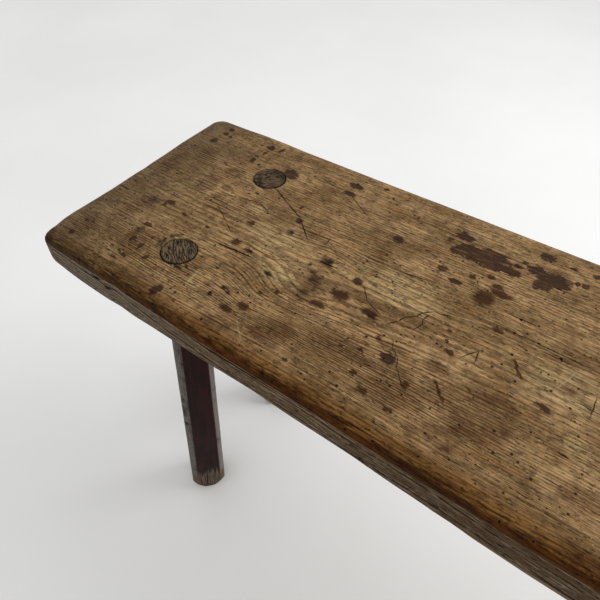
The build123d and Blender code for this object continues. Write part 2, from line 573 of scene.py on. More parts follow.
def wornLeg(model, place, seed):
    # a copy of the leg with its own wear, put where it stands
    leg = model.copy()
    leg.data = model.data.copy()
    leg.name = leg.data.name = "leg_" + place + "_painted"
    bpy.context.scene.collection.objects.link(leg)
    knocks = [knockCutter(knock, number) for number, knock in enumerate(legKnocks[place])]
    combine(leg, joined(knocks), "DIFFERENCE")
    spot = points(leg)
    # the paint reads these places, which lie 1000 mm higher on each next leg, so that no two look alike
    bound = leg.data.attributes.new("legPlace", "FLOAT_VECTOR", "POINT")
    bound.data.foreach_set("vector", (spot + np.array((0, 0, 1000 * seed))).astype(np.float32).ravel())
    height = spot[:, 2].copy()
    off = np.hypot(spot[:, 0], spot[:, 1])
    out = spot[:, :2] / np.maximum(off, 1e-6)[:, None]
    large, small = legSize["waves"]
    wander = 0.6 * roughness(spot, large, seed + 0.3) + 0.4 * roughness(spot, small, seed + 9.3)
    fade = np.clip((underside - height) / legSize["fade"], 0, 1)
    push = np.where(height < underside - 0.5, -legSize["wavy"] * (0.5 + 0.5 * wander) * fade, 0)
    much, lumps = legSize["tenonUneven"]
    push += np.where(height > underside + 1, much * roughness(spot, lumps, seed + 4.4), 0)
    spot[:, :2] += out * push[:, None]
    foot = feet[place]
    twist = copysign(radians(legSize["twist"]), -foot.x * foot.y) * np.clip(1 - height / underside, 0, 1)
    spot[:, 0], spot[:, 1] = (spot[:, 0] * np.cos(twist) - spot[:, 1] * np.sin(twist),
                              spot[:, 0] * np.sin(twist) + spot[:, 1] * np.cos(twist))
    # the tenon's end follows the plank's worn top
    much, lumps, hollow = legSize["tenonDish"]
    dish = much * roughness(spot, lumps, seed + 6.1) + hollow * (1 - off / legSize["tenonRadius"])
    sink = topWear(*tenonMiddle(foot)) + legSize["tenonSink"] + dish
    spot[:, 2] -= np.where(height > seatHeight - 2, sink, 0)
    movePoints(leg, spot)
    leg.data.transform(legMatrix(place))
    spot = points(leg)
    shifted = np.clip((spot[:, 2] - underside) / legSize["shiftOver"], 0, 1)
    spot[:, 0] += legSize["tenonShift"][0] * shifted
    spot[:, 1] -= legSize["tenonShift"][1] * shifted
    movePoints(leg, spot)
    smooth(leg, legSize["smooth"])
    return leg


legModel = legShaft()
combine(legModel, legTenon(), "UNION")
legs = {place: wornLeg(legModel, place, seed) for seed, place in enumerate(sorted(feet))}
bpy.data.objects.remove(legModel)

print("stage 7: materials")

soft = {"interpolation_type": "SMOOTHSTEP"}
blend = {"out": 2, "data_type": "RGBA"}


def linear(hexColour):
    # an sRGB colour such as "#8C7350" as the linear numbers that a shader takes
    parts = [int(hexColour[i:i + 2], 16) / 255 for i in (1, 3, 5)]
    return tuple(p / 12.92 if p <= 0.04045 else ((p + 0.055) / 1.055) ** 2.4 for p in parts) + (1,)


def addNode(tree, kind, inputs=(), out=0, **settings):
    # adds a node with its settings, links or sets its inputs, and gives one of its outputs.
    # A kind such as "Math ADD" names the node and then its operation.
    kind, *operation = kind.split()
    made = tree.nodes.new("ShaderNode" + kind)
    if operation:
        made.operation = operation[0]
    for name, value in settings.items():
        setattr(made, name, value)
    for key, value in (inputs.items() if isinstance(inputs, dict) else enumerate(inputs)):
        if isinstance(value, bpy.types.NodeSocket):
            tree.links.new(value, made.inputs[key])
        else:
            made.inputs[key].default_value = linear(value) if isinstance(value, str) else value
    return made.outputs[out] if made.outputs else made


def newMaterial(name):
    # an empty material, and addNode for it
    material = bpy.data.materials.new(name)
    material.use_nodes = True
    material.node_tree.nodes.clear()
    return material, partial(addNode, material.node_tree)


def paintOver(add, colour, *layers, **settings):
    # lays colours over one another. A layer is (value, low, high, share at low, share at high, colour),
    # or (share, colour) where the share is at hand.
    for *share, over in layers:
        share = add("MapRange", share, **soft) if len(share) > 1 else share[0]
        colour = add("Mix", {0: share, 6: colour, 7: over}, **blend, **settings)
    return colour


def product(add, *factors):
    # multiplies values with one another. A factor (value, low, high) goes softly from 0 at low to 1 at high,
    # and (value, low, high, share at low, share at high) from one share to the other.
    total = None
    for factor in factors:
        if isinstance(factor, tuple):
            factor = add("MapRange", factor, **soft)
        total = add("Math MULTIPLY", [total, factor]) if total else factor
    return total


def drawnOut(add, place, sizes):
    # noise of each of these sizes: ((its lumps' size along X, Y and Z), detail, roughness)
    made = []
    for size, detail, rough in sizes.values():
        scaled = add("VectorMath MULTIPLY", [place, tuple(1 / part for part in size)])
        made.append(add("TexNoise", {"Vector": scaled, "Scale": 1.0, "Detail": detail, "Roughness": rough}))
    return made


def markDistance(add, flat, marks):
    # the least distance to any of the marks, where 1 is a mark's edge. A mark is
    # (along, across, half length, half width, turn in degrees), and flat is (along, across, 1).
    # Only vector and plain maths nodes, made in this order, keep so long a chain small for the renderer.
    nearest = None
    for along, across, half, width, *turn in marks:
        if turn:
            c, s = cos(radians(turn[0])), sin(radians(turn[0]))
            lengthwise = (c / half, s / half, -(c * along + s * across) / half)
            sideways = (-s / width, c / width, (s * along - c * across) / width)
            u, v = [add("VectorMath DOT_PRODUCT", [flat, way], out="Value") for way in (lengthwise, sideways)]
            square = add("Math MULTIPLY_ADD", [v, v, product(add, u, u)])
        else:
            size, offset = (1 / half, 1 / width, 0), (-along / half, -across / width, 0)
            local = add("VectorMath MULTIPLY_ADD", [flat, size, offset])
            square = add("VectorMath DOT_PRODUCT", [local, local], out="Value")
        nearest = add("Math MINIMUM", [nearest, square]) if nearest else square
    return add("Math SQRT", [nearest])


def chain(*places, width):
    # thin marks from place to place
    marks = []
    for (a, b), (c, d) in zip(places, places[1:]):
        marks.append(((a + c) / 2, (b + d) / 2, hypot(c - a, d - b) / 2, width, degrees(atan2(d - b, c - a))))
    return marks


# Marks on the top, in millimetres: (along, across, half length, half width, turn)
darkStains = [
    (37.5, 19.4, 4.1, 3.1), (37.5, 30.7, 4, 3.5), (35.4, 51.1, 5, 6), (46.7, 32.7, 2, 2),
    (103.9, 24.5, 5.5, 5.2), (91.6, 26.2, 2.5, 1.7), (118.2, 22.5, 2.9, 5.1), (104.9, 37.8, 2.2, 5),
    (100.8, 49, 3.7, 1.8), (100.8, 57.2, 3.2, 5), (113.1, 61.3, 1.6, 2.6), (155.5, 55.5, 10.5, 8.6, 30),
    (229, 32.3, 9.5, 4.6, 5), (230, 48.7, 9, 4), (260.1, 18.4, 3.5, 3), (274.4, 28.6, 1.4, 1.4),
    (159, 275.8, 4.8, 7, 15), (310.2, 85.8, 6.2, 5.8), (366.7, 42.9, 7.6, 5.4), (353.7, 54.8, 2.8, 1.9),
    (427.2, 45, 2.9, 1.9), (423.5, 54.1, 4.8, 2.6), (364.3, 98.1, 5.8, 5), (381.7, 107.9, 7, 3.3),
    (392.9, 93, 3, 4, 40), (373.5, 223.3, 7.2, 5.4), (447, 73.6, 3, 2.6), (444.5, 26.6, 5.6, 5.2),
    (468.4, 27.6, 4.4, 2.8), (489.5, 26.6, 3.7, 3.3), (483.8, 45, 3.5, 4), (476.6, 46, 2.5, 2.5),
    (471.9, 49, 1.6, 1.6), (690, 66, 9, 6), (704, 74, 4, 4), (1104, 61, 7, 9), (1290, 208, 12, 8, 20),
    (1309, 219, 5, 4), (1396, 40, 5, 4), (905, 232, 6, 5),
]
# The big spills, whose outlines are more ragged
wideStains = [
    (384, 64, 20, 8, 5), (368, 66, 9, 8), (402, 62, 16, 12), (418, 66, 11, 6), (362, 43, 7, 6),
    (398, 52, 14, 6, 5), (378, 57, 12, 6), (455, 55, 14, 10, -20), (442, 26, 6, 6), (450, 66, 9, 7),
    (441, 50, 10, 6), (464, 56, 9, 8), (697, 68, 14, 8, 10), (1104, 61, 9, 12),
]
rustStains = [
    (412.3, 113.4, 9, 10, 60), (424, 100, 11, 4.5), (417, 92.6, 6, 2.8), (407.2, 83.8, 3.8, 3.4),
    (336.8, 188.8, 9, 4.2, 10), (412.3, 188, 4.6, 2.6, 30), (356.1, 207.8, 3.9, 2.4),
    (371.4, 261.9, 5.2, 2.8, 10), (397, 266.6, 4.3, 2.8), (397, 238, 3.2, 3.4), (304, 272.7, 2.8, 2.3),
    (333.7, 233.9, 2.6, 1.7), (350, 227.8, 2.6, 2), (356.1, 250.2, 3.6, 2.3), (306.5, 160.2, 5.5, 4.5),
    (291.6, 205.5, 8, 4.5), (303, 185, 9, 6.5), (494, 196.1, 8.4, 2.6, 12), (436.8, 142, 5, 2.9),
    (103.9, 178.3, 3.9, 2.8), (139.6, 180.8, 2.8, 1.9), (178.4, 182.8, 5, 3.8), (75.3, 178.7, 2.3, 2.3),
    (111.4, 144.6, 1.9, 1.3),
    (199.9, 99.1, 2.4, 3.6), (211.1, 118.5, 4.8, 4), (232.6, 200.2, 4, 2.4, 25), (254, 214.5, 2.8, 2),
    (240.7, 224.7, 2.4, 2), (210.1, 237, 2.8, 2.4), (204, 251.3, 2.4, 2.2), (88.6, 237, 3.4, 4.4),
    (102.9, 242.1, 2.3, 5.6), (104.9, 225.7, 2.4, 2), (120.2, 249.2, 2.4, 3), (402.3, 166.4, 2.6, 1.7),
    (405, 178, 3, 2), (98, 260, 5, 2), (86, 213, 6, 3), (79, 172, 7, 3), (27.8, 243.7, 3, 2),
    (29.1, 266, 3, 2.5), (118.6, 251.5, 3, 3), (238, 246, 6, 4), (227, 257, 7, 3.5), (195.3, 184.9, 5, 2.6),
    (171, 150, 4, 3), (640, 152, 7, 5), (702, 210, 5, 3), (870, 118, 9, 6), (1180, 180, 6, 6),
    (1420, 150, 8, 5),
] + chain((457.2, 162.4), (471.5, 180.8), width=1.1) + chain((412.3, 219.6), (430.7, 238), width=1.4)
# Brown grime rubbed into the wood
deepSmudges = [
    (428, 262, 6, 5), (437, 260, 7, 5), (446, 257, 8, 6), (447, 271, 8, 5), (430, 268, 9, 5),
    (418, 270, 6, 5), (453, 249, 7, 5), (462, 248, 8, 4), (472, 242, 7, 4), (478, 232, 4, 4),
    (463, 208, 8, 4), (443, 201, 8, 4), (456, 212, 6, 4), (444, 243, 6, 4), (488, 106, 9, 5),
    (506, 167, 8, 5), (361, 238, 9, 4), (412, 206, 9, 4), (94, 90, 6, 8), (112, 118, 6, 5),
    (268, 263, 16, 4), (289, 246, 8, 5), (538, 252, 14, 8), (556, 291, 14, 5), (570, 262, 10, 6),
]
smudges = [
    (26.3, 113.4, 12, 26), (48.7, 80.7, 13, 17), (87.5, 121.6, 13, 25), (304, 117.5, 12, 23),
    (138.6, 23.5, 8, 4), (459, 222, 26, 22, 20), (448, 246, 18, 12), (432, 231, 26, 18), (126, 149, 22, 14),
    (228, 277, 22, 8), (114, 134, 10, 8), (272, 172, 9, 26), (276, 204, 12, 12), (92, 236, 18, 20),
    (394, 246, 38, 31),
    (412, 211, 18, 8), (374, 212, 18, 8), (64, 240, 13, 16), (165, 233, 14, 12), (330, 232, 34, 14),
    (276, 260, 20, 24), (103, 90, 11, 15), (30, 250, 16, 22), (52, 205, 13, 28), (640, 120, 40, 24),
    (900, 180, 34, 30), (1230, 90, 46, 26), (1440, 200, 22, 34),
]
lightPatches = [
    (205, 152, 40, 20), (215, 172, 20, 6), (183.5, 249, 9, 6), (338, 150, 50, 22), (240, 190, 22, 26),
    (505, 170, 40, 24), (60, 145, 18, 9), (166, 129, 16, 9), (526, 216, 16, 9), (700, 150, 90, 22),
    (1050, 140, 120, 26),
]
# Where the growth rings show most clearly
boldGrain = [(235, 232, 80, 36), (150, 252, 70, 22), (330, 228, 60, 34), (260, 120, 60, 24)]
darkLinesAndSplitShade = (
    chain((193.7, 42.9), (212.1, 47), (230.5, 49), (265.2, 70.5), width=0.5)
    + chain((157, 86.8), (183.5, 101.1), (208, 113.4), (234.6, 137.9), width=0.75)
    + chain((117.1, 128.7), (130.4, 123.6), (157, 117.5), (177.4, 125.6), width=0.55)
    + chain((122.3, 146.1), (150.9, 164.4), (163.1, 172.6), width=0.4)
    + chain((222.3, 181.8), (250.9, 167.5), width=0.4)
    + chain((12, 264.5), (30.3, 265.6), width=0.4)
    + chain((381, 155), (374, 161), (371.5, 168), (364, 174), (361, 182), (354, 191), width=0.6)
    + chain((380, 160), (378, 168), (380, 174), (376.5, 182), width=0.55)
    + chain((382, 153), (388, 153.5), (396, 150.5), width=0.5)
    + chain((316.3, 164.4), (326.5, 176.7), (342.8, 183.9), width=0.5)
    + chain((431.7, 172.6), (433.7, 184.9), width=0.6)
    + chain((431.7, 172.6), (422.5, 186.9), width=0.5)
    + chain((367.4, 203.3), (371, 211), (379, 217), (384, 228), (397, 242.1), width=0.4)
    + chain((432.7, 136.3), (520.5, 137.9), width=0.45)
    + chain((513.4, 176.3), (532.8, 177.3), width=0.5)
    + chain((525.6, 164.4), (526.2, 183.9), width=0.5)
    + chain((253, 125), (253.5, 133), width=0.5)
    + chain((820, 190), (858, 204), (880, 201), width=0.5)
    + chain((1130, 96), (1163, 140), width=0.45)
)
blackSpots = [
    (268.3, 156.5, 7, 2), (257, 166.5, 2.5, 2), (198.5, 185.6, 4, 2), (179.4, 42.9, 1.4, 1.6),
    (180.5, 53.1, 1.8, 1.4), (177.4, 86.8, 1.5, 1.5), (145.7, 106.2, 3, 1.2), (138.6, 111.3, 2.4, 1.6),
    (215.2, 137.9, 2.6, 1.6), (271, 153.5, 4, 3.2), (339, 191, 5, 1.6, 10), (39.2, 202.7, 1.4, 1.4),
    (28.8, 81.1, 1.5, 1.3), (91.1, 267.4, 6, 1.3, 5), (81.3, 263.4, 3, 1.2), (79.9, 256.3, 3.4, 1.1, 10),
    (90, 257.3, 3, 1.2), (61, 285.6, 1.5, 1.5), (81.2, 275.7, 1.2, 1.2), (108.6, 283, 3, 1.2),
    (166.5, 252.3, 1.3, 1.3), (169.2, 267.1, 1.3, 1.3), (175.8, 268.8, 1.4, 1.4), (207.6, 237.8, 2, 2.6),
    (203, 250.5, 1.8, 3), (216.4, 241.2, 2.4, 2), (186.9, 221.6, 2.2, 1.8), (119.2, 227.1, 1.4, 3.4),
    (118.9, 212.5, 3.4, 1.6), (126, 205, 3, 1.4), (116, 220, 1.2, 3), (155, 242, 6, 1.6, 10),
    (161, 237, 4, 1.4, 30), (229.5, 200.5, 4, 2, 30), (273.5, 27.9, 1.6, 1.6),
]
# Greenish-black grime in the hollow of the hidden knot and beside the front tenon
grimeSpots = [
    (271, 183, 8, 5), (272.6, 200, 8.5, 5, -30), (279, 190, 4, 7), (266, 172, 7, 4), (215.2, 137.9, 6, 4),
    (268, 152, 9, 4), (155, 243, 11, 4, 10), (116, 224, 3, 7), (122, 210, 6, 3), (60, 178, 9, 6),
    (84, 226, 6, 9),
]
# Pale scratches
paleLines = (
    [(90, 232, 2, 0.6, 40), (113, 246, 2.6, 0.6, 100), (88, 259, 1.6, 0.6, 20), (87, 266, 2, 0.5, 60),
     (78, 267, 1.4, 0.5, 10), (95, 258, 1.6, 0.5, 80), (112, 230, 2, 0.6, 20), (150, 244, 2.6, 0.5, 60),
     (160, 231, 3, 0.5, 20), (128, 214, 1.5, 0.5, 0)]
    + chain((176.7, 253.2), (175, 234.5), width=1.3)
    + chain((356, 122), (372, 132), width=0.6)
    + chain((244, 262), (262, 278), width=0.5)
    + chain((330, 140), (352, 133), width=0.5)
    + chain((505, 150), (497, 172), width=0.6)
    + chain((402, 148), (420, 143), width=0.6)
    + chain((120, 92), (148, 99), width=0.5)
    + chain((620, 200), (655, 186), width=0.6)
    + chain((930, 90), (968, 108), width=0.6)
    + chain((1210, 160), (1226, 196), width=0.6)
)

# Painted shade in the splits, darker than the cuts alone show
darkLinesAndSplitShade += [(spot, side, half * 0.95, width * 0.5, turn) for spot, side, half, width, _, turn in topSplits]
sideSplitShade = [(spot, deep, half * 1.05, width * 0.65) for spot, deep, half, width, _ in sideSplits]

# The hidden knots that the grain flows round: (along, across, reach along, reach across, push, turn)
knots = [(266, 168, 17, 20, 10, 0), (1015, 92, 30, 26, 22, 10)]
# Where the lines dip towards the front: (along, across, reach along, reach across, dip)
dips = [(275, 206, 25, 20, 15), (240, 226, 20, 20, 11), (322, 206, 34, 22, 9), (375, 208, 50, 24, 4),
        (690, 75, 45, 30, -5), (1240, 210, 50, 30, 6)]
pineGrain = {
    "heartAcross": 170,       # the tree's heart lay under this line of the plank
    "heartWide": 12,          # how wide the band without lines is over it
    "middlePitch": 3.8,       # the lines' spacing near the middle of the top,
    "frontPitch": 1.9,        # at its front edge, this far from the heart,
    "frontFar": 115,
    "backPitch": 2.8,         # and at its back edge, this far from it
    "backFar": 148,
    "sidePitch": 3.2,         # and on the sides and ends
    "drift": 6,               # how far the lines wander over the plank's length
    "driftSize": (190, 90, 90),
}
# Noise drawn out along the grain. Real fibres are finer, and these are as fine as the picture can show.
pineStreaks = {
    "broken": ((24, 2, 2), 3.0, 0.65),
    "fibre": ((16, 1.7, 1.7), 4.0, 0.65),
    "dashes": ((6, 1.3, 1.3), 2.0, 0.6),
    "rusty": ((55, 8, 8), 3.0, 0.65),
    "patchy": ((75, 38, 38), 4.0, 0.55),
}
# Hairline scratches that run across the grain: (slant in degrees, where the noise starts to show, colour)
hairlines = [(-32, 0.64, "#3A2713"), (38, 0.66, "#2B1B0D")]
tenonRing = {"shift": 0.4, "out": 0.2, "thin": 0.25, "thick": 1.0, "towards": (0.5, 0.86, 0)}
# The top's colours give way to the sides' between these depths
sideFrom = (15.2, 16.2)


def gaussAt(add, place, middle, reach, turn=0.0):
    # how near a place is to a middle, from 1 down to 0, and its own coordinates there
    local = add("Mapping", {"Vector": place, "Location": (*middle, 0), "Rotation": (0, 0, radians(turn)),
                            "Scale": (*reach, 90)}, vector_type="TEXTURE")
    square = add("VectorMath DOT_PRODUCT", [local, local], out="Value")
    return add("Math POWER", [exp(-0.5), square]), local


def pineRings(add, place, across, deep):
    # how many growth rings lie between the tree's heart and a place on the plank
    grain = pineGrain
    slow = add("VectorMath MULTIPLY", [place, tuple(1 / size for size in grain["driftSize"])])
    drift = add("TexNoise", {"Vector": slow, "Scale": 1.0, "Detail": 2.0})
    across = add("Math MULTIPLY_ADD", [drift, grain["drift"] * 2, across])
    for *middle, reachAlong, reachAcross, push, turn in knots:
        near, local = gaussAt(add, place, middle, (reachAlong, reachAcross), turn)
        shove = product(add, near, add("SeparateXYZ", [local], out=1))
        across = add("Math MULTIPLY_ADD", [shove, -push, across])
    for *middle, reachAlong, reachAcross, dip in dips:
        near, _ = gaussAt(add, place, middle, (reachAlong, reachAcross))
        across = add("Math MULTIPLY_ADD", [near, -dip, across])
    signed = add("Math SUBTRACT", [across, grain["heartAcross"] + grain["drift"]])
    fromHeart = add("CombineXYZ", [signed, grain["heartWide"], 0.0])
    fromHeart = add("VectorMath LENGTH", [fromHeart], out="Value")
    # the lines draw together towards both edges, faster towards the front
    front = (1 / grain["frontPitch"] - 1 / grain["middlePitch"]) / (3 * grain["frontFar"] ** 2)
    back = (1 / grain["backPitch"] - 1 / grain["middlePitch"]) / (3 * grain["backFar"] ** 2)
    closer = product(add, fromHeart, (front + back) / 2)
    closer = add("Math MULTIPLY_ADD", [signed, (front - back) / 2, closer])
    closer = add("Math MULTIPLY_ADD", [fromHeart, closer, 1 / grain["middlePitch"]])
    rings = product(add, fromHeart, closer)
    rings = add("Math MULTIPLY_ADD", [deep, -1 / grain["sidePitch"], rings])
    uneven = add("TexNoise", {"W": product(add, rings, 0.4), "Scale": 1.0, "Detail": 0.0},
                 noise_dimensions="1D")
    shifted = add("Math ADD", [rings, 50.0])
    return add("Math MULTIPLY_ADD", [uneven, 1.3, shifted])


def pinePlankWood():
    # Old flat-sawn pine, worn bare and waxed by use: pale early wood between dark, slightly raised lines of
    # late wood, a polished brown arris with painted shade and a painted highlight, grey unwaxed sides,
    # and a century of spills and knocks on the top.
    material, add = newMaterial("worn_waxed_pine")
    place = add("Mapping", {"Vector": add("TexCoord", out="Object"), "Scale": (1 / mm, -1 / mm, -1 / mm),
                            "Location": (-seatLow.x / mm, seatHigh.y / mm, seatHeight)})
    deep, across, along = [add("SeparateXYZ", [place], out=axis) for axis in (2, 1, 0)]

    # places shaken by noise, so that the marks have ragged edges
    shake = add("TexNoise", {"Vector": place, "Scale": 0.17, "Detail": 4.0, "Roughness": 0.65}, out=1)
    centred = add("VectorMath SUBTRACT", [shake, (0.5, 0.5, 0.5)])
    flat = add("VectorMath MULTIPLY_ADD", [place, (1, 1, 0), (0, 0, 1)])
    torn, ragged, wobbly, uneven = [add("VectorMath MULTIPLY_ADD", [centred, (x, y, 0), flat])
                                    for x, y in ((17, 14), (9, 9), (2.2, 2.2), (4.5, 4.5))]
    toLine = markDistance(add, wobbly, darkLinesAndSplitShade)
    toPale = markDistance(add, wobbly, paleLines)
    toSpot = markDistance(add, uneven, blackSpots)
    toGrime = markDistance(add, torn, grimeSpots)
    toWide = markDistance(add, torn, wideStains)
    toStain = markDistance(add, ragged, darkStains)
    toRust = markDistance(add, ragged, rustStains)
    toDeep = markDistance(add, ragged, deepSmudges)
    toSmudge = markDistance(add, torn, smudges)
    toLight = markDistance(add, torn, lightPatches)
    toBold = markDistance(add, torn, boldGrain)

    # growth rings: late wood is the dark end of each ring
    rings = pineRings(add, place, across, deep)
    inRing = add("Math FRACT", [rings])
    ringNumber = add("Math FLOOR", [rings])
    ringMood = add("TexWhiteNoise", {"W": ringNumber}, noise_dimensions="1D")
    lateWood = product(add, (inRing, 0.38, 0.78), (inRing, 0.93, 1.0, 1.0, 0.0))
    broken, fibre, dashes, rusty, patchy = drawnOut(add, place, pineStreaks)
    strength = add("MapRange", [ringMood, 0.0, 0.7, 0.55, 1.0])
    lateLine = product(add, lateWood, (broken, 0.3, 0.56, 0.45, 1.0), strength)
    grime = add("TexNoise", {"Vector": place, "Scale": 0.1, "Detail": 5.0, "Roughness": 0.7})

    # the top's colours, from the bare wood to what lies on it
    early = paintOver(
        add, "#836742",
        (patchy, 0.34, 0.66, 0.0, 1.0, "#B19064"),
        (toLight, 0.3, 1.35, 0.55, 0.0, "#C9AD7C"),
        (rusty, 0.5, 0.7, 0.0, 0.4, "#8E5C30"),
        (fibre, 0.3, 0.42, 0.38, 0.0, "#CDB48A"),
    )
    late = paintOver(add, "#35210F", (patchy, 0.3, 0.7, 0.0, 1.0, "#4A3018"))
    wood = paintOver(
        add, early,
        (product(add, lateLine, (toBold, 0.4, 1.3, 0.92, 0.58)), late),
        (fibre, 0.46, 0.64, 0.0, 0.5, "#4D331C"),
        (grime, 0.44, 0.68, 0.0, 0.55, "#463220"),
        # painted shade: the top darkens towards its left end, away from the light
        (along, 6.0, 120.0, 0.6, 0.0, "#4A3D2B"),
        (dashes, 0.575, 0.64, 0.0, 0.68, "#24150A"),
    )
    for number, (slant, least, colour) in enumerate(hairlines):
        slanted = add("Mapping", {"Vector": place, "Rotation": (0, 0, radians(slant)),
                                  "Location": (0, 0, 90 * number), "Scale": (1 / 32, 1 / 1.1, 1 / 30)})
        hairline = add("TexNoise", {"Vector": slanted, "Scale": 1.0, "Detail": 1.0})
        wood = paintOver(add, wood, (hairline, least, least + 0.07, 0.0, 0.6, colour))
    bruises = add("TexNoise", {"Vector": place, "Scale": 0.42, "Detail": 3.0, "Roughness": 0.75})
    wood = paintOver(add, wood, (bruises, 0.62, 0.72, 0.0, 0.5, "#CDB890"))

    grainy = add("Math MULTIPLY_ADD", [lateLine, 0.55, 0.3])
    top = paintOver(add, wood, (product(add, (toSmudge, 0.4, 1.25, 1.0, 0.0), grainy), "#3B220F"))
    # a spill soaks in along the fibres, so the grain still shows through it
    toWide, toStain, toRust = [add("Math MULTIPLY_ADD", [fibre, -pull, distance])
                               for pull, distance in ((1.0, toWide), (0.6, toStain), (0.8, toRust))]
    spills = [add("MapRange", [toWide, 0.36, 0.62, 1.0, 0.0], **soft),
              add("MapRange", [toStain, 0.46, 0.82, 1.0, 0.0], **soft)]
    spill = product(add, add("Math MAXIMUM", spills), (fibre, 0.34, 0.5, 0.6, 1.0))
    top = paintOver(add, top, (spill, "#978A86"), blend_type="MULTIPLY")
    top = paintOver(
        add, top,
        (product(add, spill, 0.68), "#36241A"),
        (toDeep, 0.3, 1.7, 0.54, 0.0, "#40200D"),
        (toGrime, 0.2, 1.3, 0.78, 0.0, "#2B2416"),
        (toRust, 0.25, 0.95, 0.88, 0.0, "#34190A"),
        (toSpot, 0.3, 1.5, 0.92, 0.0, "#19130C"),
        (toPale, 0.6, 1.6, 0.3, 0.0, "#BDAA85"),
        (toLine, 0.6, 1.6, 0.92, 0.0, "#140C06"),
    )

    # worm holes and dirt in the pores, too small to model
    dots, dotMood = [add("TexVoronoi", {"Vector": place, "Scale": 0.17}, out=out)
                     for out in ("Distance", "Color")]
    dotSize = add("MapRange", [add("SeparateXYZ", [dotMood]), 0.3, 1.0, 0.0, 0.22])
    dot = add("MapRange", [add("Math SUBTRACT", [dots, dotSize]), -0.03, 0.03, 0.88, 0.0], **soft)
    top = paintOver(add, top, (dot, "#1A1009"))

    # painted shade of the gap round each tenon: a black ring, widest towards the front and the plank's middle
    for foot in feet.values():
        rim = tenonMiddle(foot) + np.full(2, tenonRing["shift"])
        offset = add("VectorMath SUBTRACT", [wobbly, (*rim, 1)])
        off = add("VectorMath LENGTH", [offset], out="Value")
        gap = add("Math SUBTRACT", [off, mortise["radius"] + tenonRing["out"]])
        gap = add("Math ABSOLUTE", [gap])
        towards = add("VectorMath DOT_PRODUCT", [offset, tenonRing["towards"]], out="Value")
        wide = add("Math ADD", [add("MapRange", [towards, -10, 17, 0.05, 1.0], **soft),
                                add("MapRange", [bruises, 0.4, 0.6, 0.5, 0.0], **soft)])
        gapShade = add("MapRange", [gap, tenonRing["thin"], tenonRing["thick"], 0.97, 0.0], **soft)
        gapShade = add("Math MULTIPLY", [gapShade, wide], use_clamp=True)
        top = paintOver(add, top, (gapShade, "#150E08"))

    # the dull sides and ends, the bare underside, and painted shade in the side splits
    side = paintOver(
        add, "#57452F",
        (broken, 0.35, 0.65, 0.0, 1.0, "#79654F"),
        (along, 60.0, 300.0, 0.45, 0.0, "#7C7365"),
        (along, 280.0, 520.0, 0.0, 0.55, "#46351F"),
    )
    side = paintOver(add, side, (product(add, lateLine, 0.95), "#20140A"))
    lengthwise = add("Mapping", {"Vector": place, "Rotation": (radians(-90), 0, 0)})
    lengthwise = add("VectorMath MULTIPLY_ADD", [lengthwise, (1, 1, 0), (0, 0, 1)])
    shaken = add("VectorMath MULTIPLY_ADD", [centred, (3, 3, 0), lengthwise])
    side = paintOver(
        add, side,
        (fibre, 0.3, 0.46, 0.7, 0.0, "#9A8C7A"),
        (dashes, 0.56, 0.64, 0.0, 0.8, "#1B120C"),
        (markDistance(add, shaken, sideSplitShade), 0.6, 1.3, 0.95, 0.0, "#140D09"),
    )
    below = paintOver(add, "#7C6850", (product(add, lateLine, 0.55), "#55412C"))
    below = paintOver(add, below, (grime, 0.45, 0.7, 0.0, 0.5, "#5C5044"))
    thick = plankSize["thick"]
    side = paintOver(add, side, (deep, thick - 4, thick - 1, 0.0, 1.0, below))
    edge = add("Math MULTIPLY_ADD", [grime, 3.0, deep])
    body = paintOver(add, top, (edge, *sideFrom, 0.0, 1.0, side))

    # how far a place is from the front edge, with some streaks in it
    fromMiddle = add("Math MULTIPLY_ADD", [along, 2 / plankSize["long"], -1.0])
    toEdge = product(add, fromMiddle, fromMiddle)
    toEdge = add("Math MULTIPLY_ADD", [toEdge, -plankSize["belly"], plankSize["wide"]])
    toEdge = add("Math SUBTRACT", [toEdge, across])
    for streak, much in ((rusty, 26.0), (fibre, 10.0)):
        toEdge = add("Math MULTIPLY_ADD", [add("Math SUBTRACT", [streak, 0.5]), much, toEdge])
    # old wax and dirt, and painted shade where the round turns away from the light, darken the worn arris but
    # leave its grain: a wide brown band and a narrow dark one
    above = add("MapRange", [edge, *sideFrom, 1.0, 0.0], **soft)
    waxAndShadeWidth = add("MapRange", [along, 60.0, 330.0, 17.0, 19.0])
    waxAndShadeBand = add("MapRange", [add("Math DIVIDE", [toEdge, waxAndShadeWidth]), 0.35, 1.25, 1.0, 0.0], **soft)
    streaky = add("Math SUBTRACT", [fibre, 0.5])
    streaky = add("Math MULTIPLY_ADD", [streaky, 12.0, edge])
    darkWaxAndShadeBand = product(add, (across, 225, 260), (streaky, 3.5, 9.0), above)
    waxAndShadeBands = ((product(add, waxAndShadeBand, above), "#C8BEAE", "#C4AF8B"), (darkWaxAndShadeBand, "#C2B7A6", "#A68B66"))
    for share, left, right in waxAndShadeBands:
        tint = paintOver(add, left, (along, 60, 260, 0.0, 1.0, right))
        body = paintOver(add, body, (share, tint), blend_type="MULTIPLY")
    # a painted highlight: a thin light line along the lower end of the round near the left end
    glint = product(add, (edge, 15.6, 16.2), (edge, 16.6, 17.4, 1.0, 0.0),
                    (along, 60, 84, 0.0, 0.7), (along, 130, 200, 1.0, 0.12))
    body = paintOver(add, body, (glint, "#8D7F6F"))

